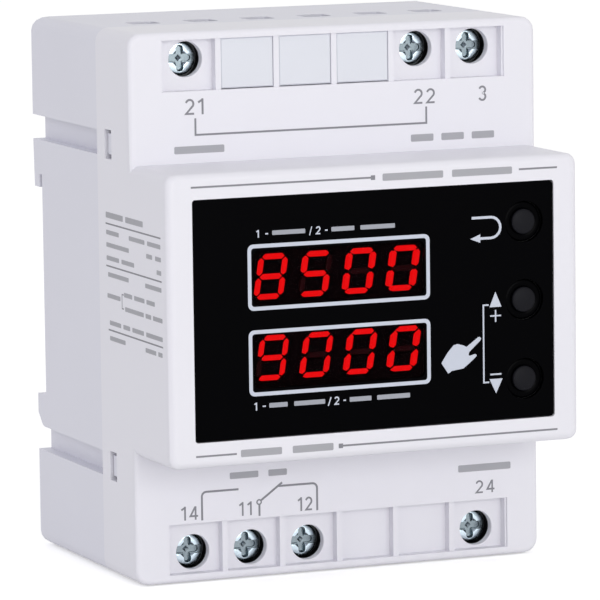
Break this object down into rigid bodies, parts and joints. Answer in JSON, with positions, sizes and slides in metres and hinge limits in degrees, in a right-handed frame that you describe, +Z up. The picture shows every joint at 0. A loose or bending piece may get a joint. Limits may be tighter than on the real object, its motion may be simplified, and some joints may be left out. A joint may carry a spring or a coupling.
{
  "type": "panel counter",
  "caption": "Rail-mounted electronic counter: stepped white housing, black face plate with red digit displays, push buttons, rising-clamp screw terminals and a sprung rail clip.",
  "frame": {"origin": "middle of the footprint on the bottom face", "axes": "+Z up along the housing's height, +X to the right seen from the front, -Y out of the face plate, +Y towards the rail"},
  "size_m": [0.072, 0.062, 0.09],
  "materials": {
    "housing_white": "fine-grained moulded thermoplastic, cool white",
    "cover_white": "fine-grained moulded thermoplastic, cool white, a little lighter than the base",
    "face_black": "glossy black printed film",
    "window_tint": "clear dark tinted pane",
    "button_black": "satin black moulding",
    "switch_grey": "moulded switch body",
    "display_shell": "moulded display shell with a black face",
    "segment_lit": "lit red epoxy segments",
    "segment_off": "unlit segments, dark red",
    "board_green": "green solder mask on glass-epoxy board",
    "relay_blue": "moulded blue relay case",
    "capacitor_yellow": "moulded yellow film capacitor case",
    "varistor_blue": "dipped blue epoxy",
    "chip_black": "moulded black component case",
    "terminal_grey": "moulded grey terminal body",
    "tinned_brass": "tin-plated brass strip",
    "zinc_steel": "zinc-plated steel clamp",
    "screw_zinc": "bluish bright zinc-plated screw",
    "spring_steel": "bright spring wire",
    "clip_grey": "moulded pale grey clip",
    "print_grey": "grey printed lines and numerals",
    "print_pale": "pale blue-grey print on the face plate"
  },
  "bodies": {
    "housing": {"base_housing": "housing_white", "front_cover": "cover_white", "face_plate": "face_black", "upper_window": "window_tint", "lower_window": "window_tint", "mode_switch": "switch_grey", "up_switch": "switch_grey", "down_switch": "switch_grey", "upper_display": "display_shell", "lower_display": "display_shell", "upper_segments": "segment_lit", "lower_segments": "segment_lit", "display_board": "board_green", "main_board": "board_green", "riser_board": "board_green", "relay": "relay_blue", "film_capacitor": "capacitor_yellow", "electrolytic_capacitor": "chip_black", "varistor": "varistor_blue", "bridge_rectifier": "chip_black", "optocoupler": "chip_black", "microcontroller": "chip_black", "upper_left_terminal_body": "terminal_grey", "upper_right_terminal_body": "terminal_grey", "lower_left_terminal_body": "terminal_grey", "lower_right_terminal_body": "terminal_grey", "contact_upper_1": "tinned_brass", "contact_upper_5": "tinned_brass", "contact_upper_6": "tinned_brass", "contact_lower_1": "tinned_brass", "contact_lower_2": "tinned_brass", "contact_lower_3": "tinned_brass", "contact_lower_6": "tinned_brass", "blanking_plate_1": "cover_white", "blanking_plate_2": "cover_white", "blanking_plate_3": "cover_white", "clip_spring": "spring_steel"},
    "mode_key": {"mode_button": "button_black", "mode_plunger": "button_black"},
    "up_key": {"up_button": "button_black", "up_plunger": "button_black"},
    "down_key": {"down_button": "button_black", "down_plunger": "button_black"},
    "clip": {"rail_clip": "clip_grey"},
    "upper_screw_1": {"screw_upper_1": "screw_zinc"},
    "upper_clamp_1": {"clamp_upper_1": "zinc_steel"},
    "upper_screw_5": {"screw_upper_5": "screw_zinc"},
    "upper_clamp_5": {"clamp_upper_5": "zinc_steel"},
    "upper_screw_6": {"screw_upper_6": "screw_zinc"},
    "upper_clamp_6": {"clamp_upper_6": "zinc_steel"},
    "lower_screw_1": {"screw_lower_1": "screw_zinc"},
    "lower_clamp_1": {"clamp_lower_1": "zinc_steel"},
    "lower_screw_2": {"screw_lower_2": "screw_zinc"},
    "lower_clamp_2": {"clamp_lower_2": "zinc_steel"},
    "lower_screw_3": {"screw_lower_3": "screw_zinc"},
    "lower_clamp_3": {"clamp_lower_3": "zinc_steel"},
    "lower_screw_6": {"screw_lower_6": "screw_zinc"},
    "lower_clamp_6": {"clamp_lower_6": "zinc_steel"}
  },
  "joints": [
    {"name": "mode_press", "type": "slide", "parent": "housing", "child": "mode_key", "axis": [0, 1, 0], "range_m": [0, 0.00025], "stiffness_N_per_m": 6400},
    {"name": "up_press", "type": "slide", "parent": "housing", "child": "up_key", "axis": [0, 1, 0], "range_m": [0, 0.00025], "stiffness_N_per_m": 6400},
    {"name": "down_press", "type": "slide", "parent": "housing", "child": "down_key", "axis": [0, 1, 0], "range_m": [0, 0.00025], "stiffness_N_per_m": 6400},
    {"name": "clip_slide", "type": "slide", "parent": "housing", "child": "clip", "axis": [0, 0, -1], "range_m": [0, 0.004], "stiffness_N_per_m": 1500, "springref_m": -0.003, "deforming": ["clip_spring"]},
    {"name": "upper_turn_1", "type": "hinge", "parent": "housing", "child": "upper_screw_1", "pos_m": [-0.0254, 0, 0.08535], "axis": [0, 1, 0], "range_deg": [0, 3890]},
    {"name": "upper_turn_5", "type": "hinge", "parent": "housing", "child": "upper_screw_5", "pos_m": [0.01524, 0, 0.08535], "axis": [0, 1, 0], "range_deg": [0, 3890]},
    {"name": "upper_turn_6", "type": "hinge", "parent": "housing", "child": "upper_screw_6", "pos_m": [0.0254, 0, 0.08535], "axis": [0, 1, 0], "range_deg": [0, 3890]},
    {"name": "lower_turn_1", "type": "hinge", "parent": "housing", "child": "lower_screw_1", "pos_m": [-0.0254, 0, 0.00465], "axis": [0, 1, 0], "range_deg": [0, 3890]},
    {"name": "lower_turn_2", "type": "hinge", "parent": "housing", "child": "lower_screw_2", "pos_m": [-0.01524, 0, 0.00465], "axis": [0, 1, 0], "range_deg": [0, 3890]},
    {"name": "lower_turn_3", "type": "hinge", "parent": "housing", "child": "lower_screw_3", "pos_m": [-0.00508, 0, 0.00465], "axis": [0, 1, 0], "range_deg": [0, 3890]},
    {"name": "lower_turn_6", "type": "hinge", "parent": "housing", "child": "lower_screw_6", "pos_m": [0.0254, 0, 0.00465], "axis": [0, 1, 0], "range_deg": [0, 3890]},
    {"name": "upper_rise_1", "type": "slide", "parent": "housing", "child": "upper_clamp_1", "axis": [0, -1, 0], "range_m": [0, 0.0054]},
    {"name": "upper_rise_5", "type": "slide", "parent": "housing", "child": "upper_clamp_5", "axis": [0, -1, 0], "range_m": [0, 0.0054]},
    {"name": "upper_rise_6", "type": "slide", "parent": "housing", "child": "upper_clamp_6", "axis": [0, -1, 0], "range_m": [0, 0.0054]},
    {"name": "lower_rise_1", "type": "slide", "parent": "housing", "child": "lower_clamp_1", "axis": [0, -1, 0], "range_m": [0, 0.0054]},
    {"name": "lower_rise_2", "type": "slide", "parent": "housing", "child": "lower_clamp_2", "axis": [0, -1, 0], "range_m": [0, 0.0054]},
    {"name": "lower_rise_3", "type": "slide", "parent": "housing", "child": "lower_clamp_3", "axis": [0, -1, 0], "range_m": [0, 0.0054]},
    {"name": "lower_rise_6", "type": "slide", "parent": "housing", "child": "lower_clamp_6", "axis": [0, -1, 0], "range_m": [0, 0.0054]}
  ],
  "couplings": [
    {"joint": "upper_turn_1", "follows": "upper_rise_1", "rad_per_m": 12566},
    {"joint": "upper_turn_5", "follows": "upper_rise_5", "rad_per_m": 12566},
    {"joint": "upper_turn_6", "follows": "upper_rise_6", "rad_per_m": 12566},
    {"joint": "lower_turn_1", "follows": "lower_rise_1", "rad_per_m": 12566},
    {"joint": "lower_turn_2", "follows": "lower_rise_2", "rad_per_m": 12566},
    {"joint": "lower_turn_3", "follows": "lower_rise_3", "rad_per_m": 12566},
    {"joint": "lower_turn_6", "follows": "lower_rise_6", "rad_per_m": 12566}
  ]
}
